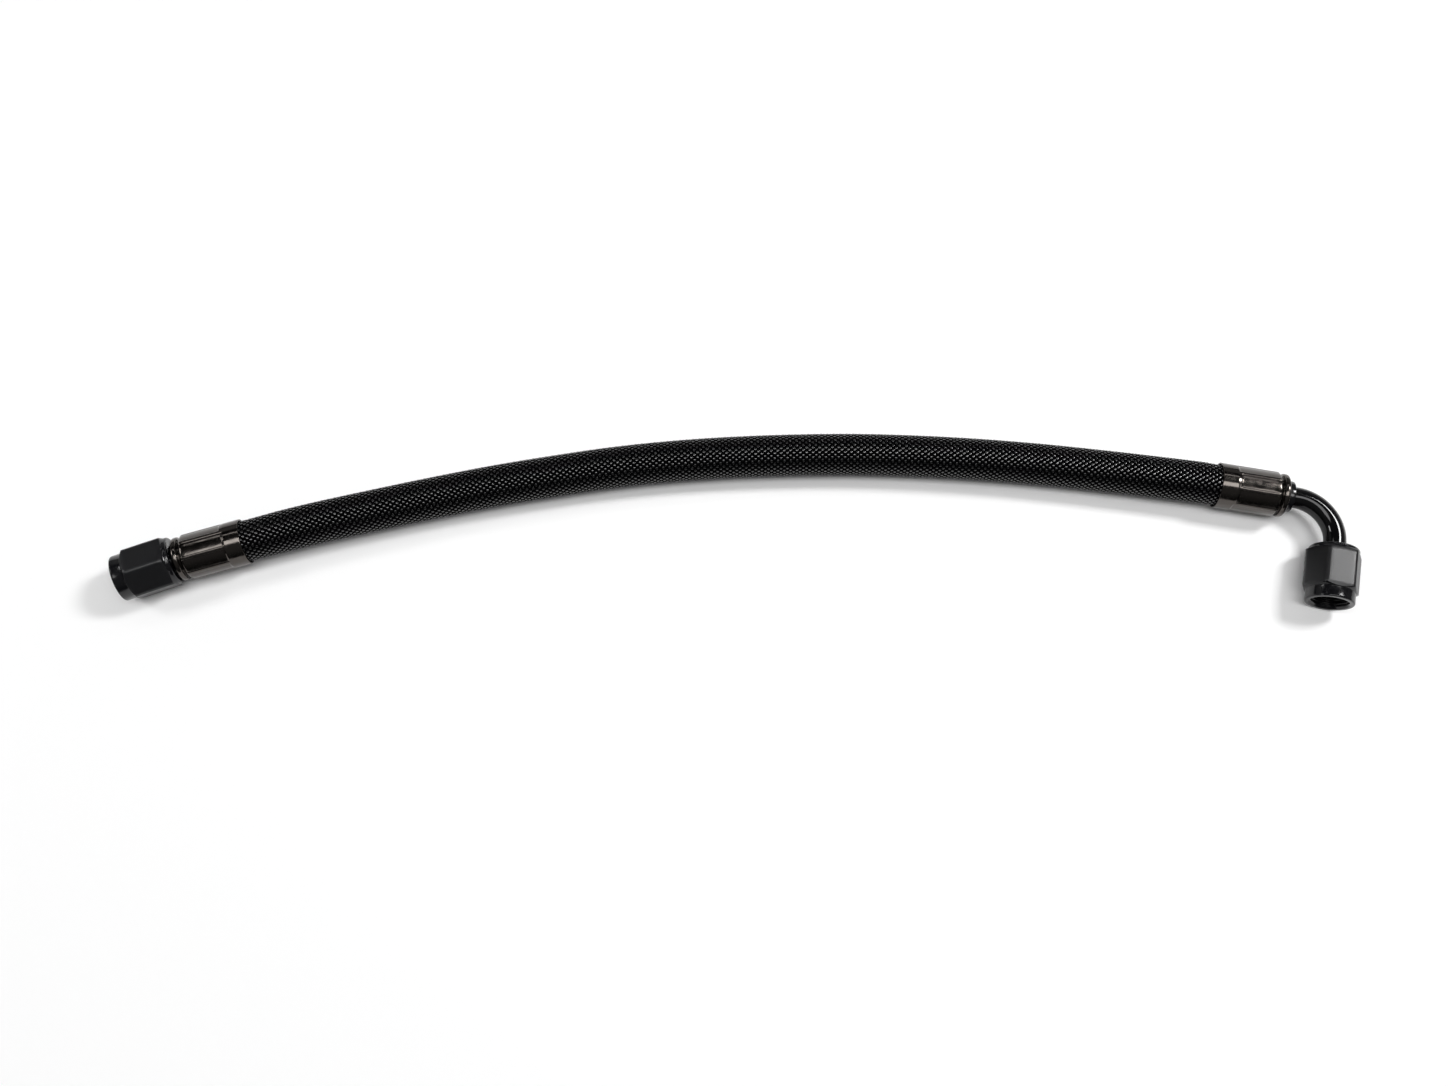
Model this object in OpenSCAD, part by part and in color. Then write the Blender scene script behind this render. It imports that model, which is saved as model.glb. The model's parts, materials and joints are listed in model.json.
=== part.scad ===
// Braided hose assembly with two 37 degree swivel nuts: a straight end and a brazed 90 degree end.
// It lies flat as on a bench: +X runs along the hose to the elbow, +Z is up, and Z = 0 is the bench.

/* [Hose] */
// Outside diameter of the braided hose
hose_od = 13; // [12.6:0.1:14]
// Bore of the inner tube
hose_bore = 5.6; // [5:0.1:5.8]
// Wall of the rubber inner tube
liner_wall = 2; // [1.6:0.1:2.4]
// Thickness of the wire braid under the cover
wire_braid_wall = 0.6; // [0.4:0.1:0.8]
// Outside diameter where the collars squeeze the hose at their mouths
neck_od = 12.3; // [11.6:0.1:12.5]
// Length over which the hose swells back to full size beside the straight end
straight_neck_l = 25; // [15:1:30]
// The same length beside the elbow end
elbow_neck_l = 10; // [6:1:18]

/* [Crimped collars] */
// Length of a collar from its mouth to the end of its lip
collar_l = 20.1; // [19:0.1:25]
// Wall of the uncrimped skirt at the mouth
skirt_wall = 0.5; // [0.4:0.05:0.8]
// Length of the uncrimped skirt
skirt_l = 4.8; // [4:0.1:7]
// Depth to which the crimping dies press below the skirt
land_depth = 0.28; // [0.15:0.01:0.4]
// Number of crimping dies
die_count = 8; // [6:1:10]
// Width of the ridge left between two dies
ridge_w = 0.8; // [0.5:0.1:1.2]
// Diameter of the rounded lip at the fitting's end
lip_od = 13; // [12:0.1:13.4]
// Length of that lip
lip_l = 1.7; // [1.2:0.1:2.4]
// Length of the groove behind the lip
lip_groove_l = 0.6; // [0.4:0.1:1]
// Outside diameter of the hose inside the crimp
crimp_hose_od = 11.2; // [10.8:0.1:11.6]
// Number of teeth inside the crimp
tooth_count = 4; // [2:1:5]

/* [Inserts] */
// Bore through both inserts
insert_bore = 4.4; // [3.8:0.1:4.6]
// Diameter of the barbed shank between its barbs
shank_od = 5.9; // [5.7:0.1:6.1]
// Height of a barb above the shank
barb_h = 0.3; // [0.2:0.05:0.4]
// Number of barbs
barb_count = 5; // [3:1:6]
// Diameter of the shoulder that shows beside the lip
shoulder_od = 9.35; // [9:0.05:10.5]
// Width of that shoulder on the straight end
straight_shoulder_l = 0.4; // [0.4:0.1:2]
// Width of that shoulder on the elbow end
elbow_shoulder_l = 2; // [1:0.1:3]

/* [Swivel nuts] */
// Size across the flats of the hexagon
nut_af = 14.29; // [14:0.01:16]
// Length of a nut
nut_l = 16.8; // [15.5:0.1:19]
// Length of the turned shoulder behind the hexagon
nut_shoulder_l = 1.3; // [0.8:0.1:2]
// Diameter of the round nose in front of the hexagon
nose_od = 13.75; // [13.2:0.05:13.9]
// Length of the nose
nose_l = 3.3; // [2:0.1:4]
// Minor diameter of the female thread
thread_minor_d = 9.98; // [9.8:0.01:10.1]
// Depth of the thread from the mouth, where its relief starts
thread_depth = 6.7; // [6:0.1:7.2]
// Diameter of the thread relief
relief_d = 11.4; // [11.2:0.1:11.6]
// Depth of the chamfer in the mouth
mouth_chamfer = 0.7; // [0.4:0.1:0.9]
// Turn of the straight end's nut away from lying on a flat
straight_nut_turn = 15; // [-29:1:29]
// Turn of the elbow end's nut away from lying on a flat
elbow_nut_turn = 0; // [-29:1:29]

/* [Seats and retaining wires] */
// Half angle of the cone in a seat
seat_angle = 37; // [36:0.5:45]
// Diameter of a seat's head
head_od = 9.5; // [9.2:0.1:9.6]
// Length of that head
head_l = 3.4; // [3:0.1:4]
// Diameter of the neck that a nut turns on
neck_d = 8.1; // [7.8:0.1:8.3]
// Radial running clearance of a nut on that neck
neck_clearance = 0.22; // [0.2:0.01:0.3]
// Wire of the split ring that holds a nut on its neck
wire_d = 0.9; // [0.7:0.05:1]
// Gap between the ends of that ring, as an angle
wire_gap = 20; // [10:1:40]

/* [Elbow tube] */
// Outside diameter of the bent tube
tube_od = 6.35; // [6:0.05:6.5]
// Wall of the bent tube
tube_wall = 0.9; // [0.7:0.05:1.1]
// Radius of its bend at the centreline
bend_r = 12; // [11:0.5:16]
// Angle through which the tube is bent
bend_angle = 92.5; // [85:0.5:95]
// Straight length between the shoulder and the bend
tube_lead = 1.6; // [0.2:0.1:3]
// Straight length between the bend and the nut
tube_tail = 1.8; // [1:0.1:6]

/* [Layout] */
// Direction of the straight end on the bench
straight_angle = 16.5; // [10:0.5:26]
// Lean of the straight end's loose nut on its neck
straight_nut_lean = 3.5; // [0:0.5:3.5]
// Direction of the elbow end's collar on the bench
elbow_angle = -10; // [-18:0.5:-4]

/* [Hidden] */
$fn = 64;

// A small overlap that keeps cuts from ending on a face
eps = 0.01;
// Clearance of pieces that slide together before they are brazed or crimped
slip = 0.05;
// How far the tube's straight legs run into its bend, and how much thinner bending draws it
leg_overlap = 0.1;
bend_thinning = 0.02;
// Play between a nut's inner shoulder and the back of the seat's head
nut_play = 0.4;
// Gap that lets the straight end's nut lean beside the insert's shoulder
nut_gap = 0.35;
// How far a seat's face stands behind the end of the thread, clear of a mate when the nut leans
face_gap = 0.3;
// Broken edges of small turned steps
fine_break = 0.15;

// Sections of the nuts
corner_r = nut_af / sqrt(3);
hex_l = nut_l - nose_l;
edge_break = 0.35;
nut_shoulder_od = nut_af - 0.1;
nut_rear_round = 0.6;
// Lengths over which the corners of the hexagon are turned away, behind and in front
rear_chamfer_l = 0.3;
front_chamfer_l = 0.85;
// Chamfer of the bore at the rear face
neck_chamfer = 0.3;
neck_bore_d = neck_d + 2 * neck_clearance;
head_depth = thread_depth + face_gap;
shoulder_depth = head_depth + head_l + nut_play;
wire_depth = (shoulder_depth + nut_l) / 2;
wire_x = nut_l - wire_depth;
// The split ring's centreline lies just outside the neck, so that it locks both pieces
wire_ring_d = neck_d + 0.55 * wire_d;
// Groove in the neck, wide and deep enough for a leaning nut's ring
neck_groove_w = wire_d + 0.8;
neck_groove_d = wire_ring_d - wire_d - 0.4;
// Rim round the cone of a seat, and how deep the cone goes
seat_rim = 0.5;
cone_l = (head_od / 2 - seat_rim - insert_bore / 2) / tan(seat_angle);
// A nut turned by an angle stands on a corner, so its axis is higher than on a flat
function axis_height(turn) = corner_r * cos(30 - abs(turn));
straight_h = axis_height(straight_nut_turn);
elbow_h = axis_height(elbow_nut_turn);

// Sections of the collars, from the mouth at 0 towards the fitting
skirt_bore = neck_od + 0.3;
skirt_od = skirt_bore + 2 * skirt_wall;
land_od = skirt_od - 2 * land_depth;
ridge_od = skirt_od - 0.12;
lock_d = 7.8;
lip_start = collar_l - lip_l;
lip_round = 0.6;
groove_d = lip_od - 1.8;
crimp_end = lip_start - lip_groove_l;
// The lands run out over a rounded end, and start down a slope from the skirt
end_round = 0.8;
land_slope = 0.7;
hose_cut = crimp_end - 0.8;
crimp_slope = 0.8;
mouth_break = 0.25;
tooth_h = 0.25;
tooth_w = 0.9;
tooth_start = skirt_l + 2 * crimp_slope;
tooth_pitch = (hose_cut - tooth_start) / tooth_count;
ridge_angle = ridge_w / (PI * ridge_od) * 360;

// Stations of the fittings from a collar's mouth
straight_nut_x = collar_l + straight_shoulder_l + nut_gap;
straight_front_x = straight_nut_x + nut_l;
tube_start_x = collar_l + elbow_shoulder_l;
tube_socket_l = 3.5;
bend_start_x = tube_start_x + tube_lead;
// The tube ends inside the seat, in front of its cone
tube_seat_x = 3.5;
seat_rear_x = 0.2;
shank_start = 1;
barb_flat = 0.3;
barb_pitch = (hose_cut - shank_start - 2.5) / barb_count;

// Centreline of the free hose, from one collar's mouth to the other's
route = [
    [-145.3, -2.4, straight_h], [-127, 2.9, 7.5], [-109, 7.4, 7], [-91, 11.6, 6.7],
    [-73, 15.4, 6.6], [-55, 18.6, 6.6], [-37, 21.4, 6.6], [-19, 23.4, 6.6], [-1, 24.7, 6.6],
    [17, 25.4, 6.6], [35, 25.6, 6.6], [53, 25.1, 6.6], [71, 24.1, 6.6], [89, 22.6, 6.6],
    [107, 20.6, 6.7], [125, 18.3, 6.9], [143.5, 15.6, elbow_h]
];
last = len(route) - 1;
hose_sides = 12;
// The polygonal bore's flats touch the round shank
grip_bore = shank_od / cos(180 / hose_sides);
free_wall = (hose_od - hose_bore) / 2;

// ---- Placement ----

// A shape of revolution is drawn as radius against X and turned onto the X axis
module along_x() rotate([0, 90, 0]) children();
module revolve(profile) along_x() rotate_extrude() polygon(profile);
module rod(x0, x1, d) translate([x0, 0, 0]) along_x() cylinder(d = d, h = x1 - x0);

// X points away from the hose and 0 is the collar's mouth
module at_straight_end() translate(route[0]) rotate([0, 0, 180 + straight_angle]) children();
module at_elbow_end() translate(route[last]) rotate([0, 0, elbow_angle]) children();
// X = 0 is the rear face of a nut. The loose one leans about its split ring
module at_straight_nut()
    at_straight_end()
        translate([straight_nut_x + wire_x, 0, 0]) rotate([0, 0, straight_nut_lean])
            translate([-wire_x, 0, 0]) children();
module at_bend_end()
    translate([bend_start_x, -bend_r, 0]) rotate([0, 0, -bend_angle])
        translate([0, bend_r, 0]) children();
module at_elbow_nut() at_elbow_end() at_bend_end() translate([tube_tail, 0, 0]) children();

// ---- Hose ----

function unit(v) = v / norm(v);
function heading(angle) = [cos(angle), sin(angle), 0];
function route_heading(i) =
    i == 0 ? heading(straight_angle) :
    i == last ? heading(elbow_angle) : unit(route[i + 1] - route[i - 1]);
function smooth(t) = let(u = min(max(t, 0), 1)) u * u * (3 - 2 * u);
// Outside diameter of the hose at a distance from each mouth
function swell(from_straight, from_elbow) =
    neck_od + (hose_od - neck_od)
        * min(smooth(from_straight / straight_neck_l), smooth(from_elbow / elbow_neck_l));
// Each ring is a centre, a heading, the hose's outside diameter and the bore there
function collar_rings(mouth, out) = [
    [mouth + out * hose_cut, crimp_hose_od, grip_bore],
    [mouth + out * (skirt_l + crimp_slope), crimp_hose_od, grip_bore],
    [mouth + out * skirt_l, neck_od, grip_bore],
    [mouth, neck_od, hose_bore]
];
function ring_along(r, angle) = [r[0], heading(angle), r[1], r[2]];
straight_rings = [
    for (r = collar_rings(route[0], -heading(straight_angle))) ring_along(r, straight_angle)
];
free_rings = [
    for (i = [1 : last - 1])
        [route[i], route_heading(i),
         swell(norm(route[i] - route[0]), norm(route[i] - route[last])), hose_bore]
];
elbow_side = collar_rings(route[last], heading(elbow_angle));
elbow_rings = [for (i = [3 : -1 : 0]) ring_along(elbow_side[i], elbow_angle)];
rings = concat(straight_rings, free_rings, elbow_rings);
// Radius of a layer's face: a depth in the free wall, squeezed as the wall is
function layer_r(ring, depth) = ring[3] / 2 + depth / free_wall * (ring[2] - ring[3]) / 2;
function circle_at(ring, r) =
    let(side = unit(cross([0, 0, 1], ring[1])), up = cross(ring[1], side))
    [for (k = [0 : hose_sides - 1])
        let(a = 360 * k / hose_sides) ring[0] + r * (cos(a) * side + sin(a) * up)];

// One layer of the hose between two depths from the bore
module hose_layer(inner, outer) {
    n = len(rings);
    s = hose_sides;
    points = concat(
        [for (ring = rings) each circle_at(ring, layer_r(ring, outer))],
        [for (ring = rings) each circle_at(ring, layer_r(ring, inner))]);
    skins = [for (j = [0 : n - 2], k = [0 : s - 1])
        let(a = j * s + k, b = j * s + (k + 1) % s, c = a + s, d = b + s, m = n * s)
        each [[a, c, b], [b, c, d], [a + m, b + m, c + m], [b + m, d + m, c + m]]];
    ends = [for (k = [0 : s - 1])
        let(k1 = (k + 1) % s, m = n * s, e = (n - 1) * s)
        each [[k, k1, k + m], [k1, k1 + m, k + m],
              [e + k, e + k + m, e + k1], [e + k1, e + k + m, e + k1 + m]]];
    polyhedron(points, concat(skins, ends), convexity = 4);
}

module hose_liner() color("#1b1b1c") hose_layer(0, liner_wall);
module steel_braid() color("#8c9094") hose_layer(liner_wall, liner_wall + wire_braid_wall);
module outer_braid() color("#0d0d0e") hose_layer(liner_wall + wire_braid_wall, free_wall);

// ---- Crimped collar ----

// A collar before its crimping dies close
module collar_body() {
    difference() {
        revolve([
            [0, 0], [skirt_od / 2 - fine_break, 0], [skirt_od / 2, fine_break],
            [skirt_od / 2, skirt_l], [ridge_od / 2, skirt_l + 0.2],
            [ridge_od / 2, crimp_end - end_round],
            for (a = [15 : 15 : 90])
                [ridge_od / 2 - end_round * (1 - cos(a)), crimp_end - end_round * (1 - sin(a))],
            [groove_d / 2, crimp_end], [groove_d / 2, lip_start],
            for (a = [0 : 30 : 90])
                [lip_od / 2 - lip_round * (1 - sin(a)), lip_start + lip_round * (1 - cos(a))],
            for (a = [0 : 30 : 90])
                [lip_od / 2 - lip_round * (1 - cos(a)), collar_l - lip_round * (1 - sin(a))],
            [0, collar_l]]);
        // Mouth and skirt over the hose
        revolve([
            [0, -1], [skirt_bore / 2 + mouth_break, -1], [skirt_bore / 2 + mouth_break, 0],
            [skirt_bore / 2, mouth_break], [skirt_bore / 2, skirt_l],
            [crimp_hose_od / 2, skirt_l + crimp_slope], [crimp_hose_od / 2, hose_cut + slip],
            [0, hose_cut + slip]]);
        rod(hose_cut, collar_l + 1, lock_d + 2 * slip);
    }
    // Teeth that bite into the cover
    for (i = [0 : tooth_count - 1])
        translate([tooth_start + i * tooth_pitch, 0, 0])
            revolve([
                [crimp_hose_od / 2 - tooth_h, tooth_w / 3], [crimp_hose_od / 2 + 0.1, 0],
                [crimp_hose_od / 2 + 0.1, tooth_w]]);
}

// What one die presses out: a land that starts down a slope, between two ridges
module die_land(i) {
    over = skirt_od / 2 + 0.4;
    along_x()
        rotate_extrude(start = (i - 0.5) * 360 / die_count + ridge_angle / 2,
                       angle = 360 / die_count - ridge_angle)
            polygon([
                [land_od / 2, skirt_l + land_slope], [over, skirt_l],
                [over, crimp_end + eps], [land_od / 2, crimp_end + eps]]);
}

module crimp_collar() color("#55514e") difference() {
    collar_body();
    for (i = [0 : die_count - 1]) die_land(i);
}

// ---- Inserts ----

// Barbed shank and locking section, from the mouth of the collar to its lip
module insert_shank() {
    barb_top = shank_od / 2 + barb_h;
    rod(shank_start, collar_l, shank_od);
    for (i = [0 : barb_count - 1])
        translate([shank_start + 1 + i * barb_pitch, 0, 0])
            revolve([
                [0, 0], [shank_od / 2, 0], [barb_top, barb_pitch * 0.6],
                [barb_top, barb_pitch * 0.6 + barb_flat],
                [shank_od / 2, barb_pitch * 0.6 + barb_flat], [0, barb_pitch * 0.6 + barb_flat]]);
    rod(hose_cut + slip, collar_l + eps, lock_d);
}

// Shoulder ring that stops the collar, with broken edges
module shoulder(width)
    translate([collar_l, 0, 0])
        revolve([
            [0, 0], [shoulder_od / 2 - fine_break, 0], [shoulder_od / 2, fine_break],
            [shoulder_od / 2, width - fine_break], [shoulder_od / 2 - fine_break, width],
            [0, width]]);

// Seat head and neck, drawn from the rear face of the nut at 0, with its wire groove
module seat_and_neck(rear) {
    face_x = nut_l - head_depth;
    head_x = face_x - head_l;
    rim_r = head_od / 2 - seat_rim;
    difference() {
        revolve([
            [0, rear], [neck_d / 2, rear], [neck_d / 2, head_x],
            [head_od / 2 - fine_break, head_x], [head_od / 2, head_x + fine_break],
            [head_od / 2, face_x - fine_break], [head_od / 2 - fine_break, face_x], [0, face_x]]);
        // The concave cone that seals on the mating nose
        revolve([
            [0, face_x + 1], [rim_r, face_x + 1], [rim_r, face_x],
            [insert_bore / 2, face_x - cone_l], [0, face_x - cone_l]]);
        translate([wire_x - neck_groove_w / 2, 0, 0])
            along_x() difference() {
                cylinder(d = neck_d + 1, h = neck_groove_w);
                translate([0, 0, -1]) cylinder(d = neck_groove_d, h = neck_groove_w + 2);
            }
    }
}

module straight_insert() color("#0b0b0d") at_straight_end() difference() {
    union() {
        insert_shank();
        shoulder(straight_shoulder_l);
        translate([straight_nut_x, 0, 0]) seat_and_neck(-nut_gap - eps);
    }
    rod(0, straight_front_x, insert_bore);
}

module elbow_insert() color("#0b0b0d") at_elbow_end() difference() {
    union() {
        insert_shank();
        shoulder(elbow_shoulder_l);
    }
    rod(0, tube_start_x + 1, insert_bore);
    // Socket that the bent tube is brazed into
    rod(tube_start_x - tube_socket_l, tube_start_x + 1, tube_od + 2 * slip);
}

module straight_collar() at_straight_end() crimp_collar();
module elbow_collar() at_elbow_end() crimp_collar();

// ---- Elbow tube and its seat ----

// The tube's line as a rod, drawn longer at both ends by an overrun
module elbow_run(d, overrun) {
    rod(tube_start_x - tube_socket_l + slip - overrun, bend_start_x + leg_overlap, d);
    translate([bend_start_x, -bend_r, 0]) rotate([0, 0, 90 - bend_angle])
        rotate_extrude(angle = bend_angle)
            translate([bend_r, 0]) circle(d = d - bend_thinning);
    at_bend_end() rod(-leg_overlap, tube_tail + tube_seat_x + overrun, d);
}

module elbow_tube() color("#0b0b0d") at_elbow_end() difference() {
    elbow_run(tube_od, 0);
    elbow_run(tube_od - 2 * tube_wall, 1);
}

module elbow_seat() color("#0b0b0d") at_elbow_nut() difference() {
    seat_and_neck(seat_rear_x);
    rod(-1, nut_l, insert_bore);
    rod(-1, tube_seat_x + slip, tube_od + 2 * slip);
}

// ---- Swivel nuts ----

module swivel_nut(turn) color("#101012") rotate([turn, 0, 0]) difference() {
    intersection() {
        union() {
            along_x() rotate([0, 0, 30]) cylinder(r = corner_r, h = hex_l, $fn = 6);
            rod(hex_l - eps, nut_l, nose_od);
        }
        // Turned shoulder, chamfers on the corners of the hexagon, and the rim of the nose
        revolve([
            [0, 0],
            for (a = [0 : 22.5 : 90])
                [nut_shoulder_od / 2 - nut_rear_round * (1 - sin(a)),
                 nut_rear_round * (1 - cos(a))],
            [nut_shoulder_od / 2, nut_shoulder_l],
            [corner_r + eps, nut_shoulder_l + rear_chamfer_l],
            [corner_r + eps, hex_l - front_chamfer_l], [nut_shoulder_od / 2, hex_l],
            [nose_od / 2, hex_l + eps], [nose_od / 2, nut_l - edge_break],
            [nose_od / 2 - edge_break, nut_l], [0, nut_l]]);
    }
    // Thread bore, its mouth chamfer and the relief round the seat's head
    rod(nut_l - shoulder_depth, nut_l + 1, thread_minor_d);
    rod(nut_l - shoulder_depth, nut_l - thread_depth, relief_d);
    revolve([
        [0, nut_l - mouth_chamfer], [thread_minor_d / 2, nut_l - mouth_chamfer],
        [thread_minor_d / 2 + mouth_chamfer + 1, nut_l + 1], [0, nut_l + 1]]);
    // Bore that turns on the neck, and the groove for the split ring
    rod(-1, nut_l, neck_bore_d);
    revolve([
        [0, -1], [neck_bore_d / 2 + neck_chamfer + 1, -1], [neck_bore_d / 2, neck_chamfer],
        [0, neck_chamfer]]);
    translate([wire_x - wire_d / 2 - slip, 0, 0])
        rod(0, wire_d + 2 * slip, wire_ring_d + wire_d + 2 * slip);
}

// Split ring that locks a nut on its neck
module split_ring() color("#9a9c9e")
    translate([wire_x, 0, 0]) along_x()
        rotate_extrude(start = wire_gap / 2, angle = 360 - wire_gap)
            translate([wire_ring_d / 2, 0]) circle(d = wire_d, $fn = 24);

module straight_nut() at_straight_nut() swivel_nut(straight_nut_turn);
module straight_nut_wire() at_straight_nut() split_ring();
module elbow_nut() at_elbow_nut() swivel_nut(elbow_nut_turn);
module elbow_nut_wire() at_elbow_nut() split_ring();

hose_liner();
steel_braid();
outer_braid();
straight_insert();
straight_collar();
straight_nut();
straight_nut_wire();
elbow_insert();
elbow_collar();
elbow_tube();
elbow_seat();
elbow_nut();
elbow_nut_wire();
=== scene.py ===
"""Braided hose assembly with a straight and a bent swivel end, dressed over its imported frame."""

import json
import math

import bpy
import numpy as np
from mathutils import Matrix, Vector

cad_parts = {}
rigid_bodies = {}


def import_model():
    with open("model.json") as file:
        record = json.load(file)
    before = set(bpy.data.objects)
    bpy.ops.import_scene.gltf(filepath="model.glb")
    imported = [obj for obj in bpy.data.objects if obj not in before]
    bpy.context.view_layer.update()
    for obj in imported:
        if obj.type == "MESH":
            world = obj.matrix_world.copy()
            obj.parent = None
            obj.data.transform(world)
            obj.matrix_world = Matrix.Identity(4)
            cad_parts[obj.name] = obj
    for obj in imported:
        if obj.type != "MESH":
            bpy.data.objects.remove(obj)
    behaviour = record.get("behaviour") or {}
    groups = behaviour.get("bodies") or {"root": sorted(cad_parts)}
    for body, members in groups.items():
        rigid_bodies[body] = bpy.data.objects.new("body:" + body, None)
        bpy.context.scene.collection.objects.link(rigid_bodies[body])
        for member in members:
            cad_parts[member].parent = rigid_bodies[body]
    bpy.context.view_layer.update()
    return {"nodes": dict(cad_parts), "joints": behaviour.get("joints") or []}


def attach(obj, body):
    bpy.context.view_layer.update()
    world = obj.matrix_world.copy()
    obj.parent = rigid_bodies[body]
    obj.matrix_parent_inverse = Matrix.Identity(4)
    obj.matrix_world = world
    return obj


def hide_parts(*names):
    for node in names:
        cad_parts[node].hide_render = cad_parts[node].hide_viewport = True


bl_info = {
    "name": "Braided Hose Assembly",
    "version": (1, 0, 0),
    "blender": (4, 5, 0),
    "location": "3D View > Sidebar > Hose Assembly",
    "description": "Builds a braided hose with crimped collars and swivel nuts, and the stage it lies on",
    "category": "Object",
}

for leftover in list(bpy.data.objects):
    bpy.data.objects.remove(leftover)
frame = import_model()

MM = 0.001
TURN = 2 * math.pi

# Centreline of the free hose, from the mouth of the straight collar to that of the elbow collar
ROUTE = np.array([
    (-0.1453, -0.0024, 0.007969), (-0.127, 0.0029, 0.0075), (-0.109, 0.0074, 0.007),
    (-0.091, 0.0116, 0.0067), (-0.073, 0.0154, 0.0066), (-0.055, 0.0186, 0.0066),
    (-0.037, 0.0214, 0.0066), (-0.019, 0.0234, 0.0066), (-0.001, 0.0247, 0.0066),
    (0.017, 0.0254, 0.0066), (0.035, 0.0256, 0.0066), (0.053, 0.0251, 0.0066),
    (0.071, 0.0241, 0.0066), (0.089, 0.0226, 0.0066), (0.107, 0.0206, 0.0067),
    (0.125, 0.0183, 0.0069), (0.1435, 0.0156, 0.007145),
])


# ---- Sizes and finishes that a user would change ----

def length(name, millimetres, description):
    """A length property, its default given in millimetres."""
    return bpy.props.FloatProperty(
        name=name, description=description, default=millimetres * MM, unit="LENGTH",
        subtype="DISTANCE", precision=5)


def tint(name, code, description):
    """A colour property, its default given as an sRGB hex code."""
    return bpy.props.FloatVectorProperty(
        name=name, description=description, default=linear(code), subtype="COLOR",
        size=4, min=0, max=1)


def number(name, value, description, lowest=0.0, highest=100.0, subtype="NONE"):
    """A number property, in radians if it is an angle."""
    return bpy.props.FloatProperty(
        name=name, description=description, default=value, min=lowest, max=highest,
        subtype=subtype)


def linear(code):
    """sRGB hex code to the linear colour that shaders take."""
    channels = [int(code[i:i + 2], 16) / 255 for i in (1, 3, 5)]
    return tuple(
        c / 12.92 if c <= 0.04045 else ((c + 0.055) / 1.055) ** 2.4 for c in channels) + (1.0,)


class HoseSizes(bpy.types.PropertyGroup):
    bore: length("Bore", 5.6, "Inside diameter of the rubber liner")
    liner_wall: length("Liner wall", 2, "Thickness of the rubber liner")
    wire_wall: length("Wire braid", 0.6, "Thickness of the steel wire braid")
    outside: length("Outside diameter", 13, "Over the crowns of the textile braid")
    neck: length("Neck diameter", 12.3, "Where the hose leaves a collar")
    straight_neck: length("Neck at the straight end", 25, "Length over which the hose swells")
    elbow_neck: length("Neck at the elbow end", 10, "Length over which the hose swells")
    crimped: length("Crimped diameter", 11.2, "Over the hose under the collar's lands")
    gripped: length("Length in a collar", 17, "How far the hose goes into each collar")
    carriers: bpy.props.IntProperty(
        name="Yarns each way", description="Yarns laid in each direction", default=24, min=4)
    lead: length("Lead of the braid", 46, "Length of hose in which a yarn goes round once")
    yarn_width: length("Yarn width", 1.08, "Across one flat yarn")
    yarn_thickness: length("Yarn thickness", 0.36, "Through one flat yarn")
    crimp: length("Yarn crimp", 0.2, "How far a yarn rises and dips at each crossing")


class CollarSizes(bpy.types.PropertyGroup):
    whole: length("Length", 20.1, "From the mouth to the end of the lip")
    skirt: length("Skirt length", 4.8, "Plain part over the hose at the mouth")
    skirt_outside: length("Skirt diameter", 13.6, "Outside of the plain skirt")
    skirt_bore: length("Skirt bore", 12.6, "Inside of the plain skirt")
    ridge: length("Ridge diameter", 13.48, "Over the ridges between the dies")
    ridge_width: length("Ridge width", 0.8, "Across one ridge")
    land: length("Land diameter", 13.04, "Over the lands that the dies press")
    lip: length("Lip diameter", 13, "Outside of the rounded lip")
    lip_length: length("Lip length", 1.7, "Along the hose")
    groove: length("Groove width", 0.6, "Between the lands and the lip")
    lock: length("Lock bore", 7.8, "Round the insert")
    dies: bpy.props.IntProperty(
        name="Dies", description="Lands pressed round the collar", default=8, min=3)


class NutSizes(bpy.types.PropertyGroup):
    flats: length("Across flats", 14.29, "Of the hexagon")
    whole: length("Length", 16.8, "From the rear face to the front rim")
    shoulder: length("Rear shoulder", 1.3, "Length of the turned shoulder behind the hexagon")
    nose: length("Nose length", 3.3, "Turned nose in front of the hexagon")
    nose_outside: length("Nose diameter", 13.75, "Outside of the nose")
    thread_minor: length("Thread minor diameter", 9.98, "Over the crests of the thread")
    thread_major: length("Thread major diameter", 11.11, "Over the roots of the thread")
    pitch: length("Thread pitch", 1.27, "Twenty turns to the inch")
    thread_length: length("Thread depth", 6.7, "From the rim to the relief")
    relief: length("Relief diameter", 11.4, "Behind the thread")
    relief_end: length("Relief end", 10.8, "From the rim to the shoulder in the bore")
    neck_bore: length("Neck bore", 8.54, "That turns on the insert's neck")
    lean: number(
        "Straight nut's lean", math.radians(3.5), "Of the loose nut on its neck", -0.1, 0.1, "ANGLE")
    pivot: length("Pivot", 3, "From the rear face to the split ring, which a loose nut leans about")
    straight_turn: number(
        "Straight nut's turn", math.radians(15), "As it lies on the bench",
        -math.pi, math.pi, "ANGLE")
    elbow_turn: number(
        "Elbow nut's turn", 0, "As it lies on the bench", -math.pi, math.pi, "ANGLE")


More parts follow.
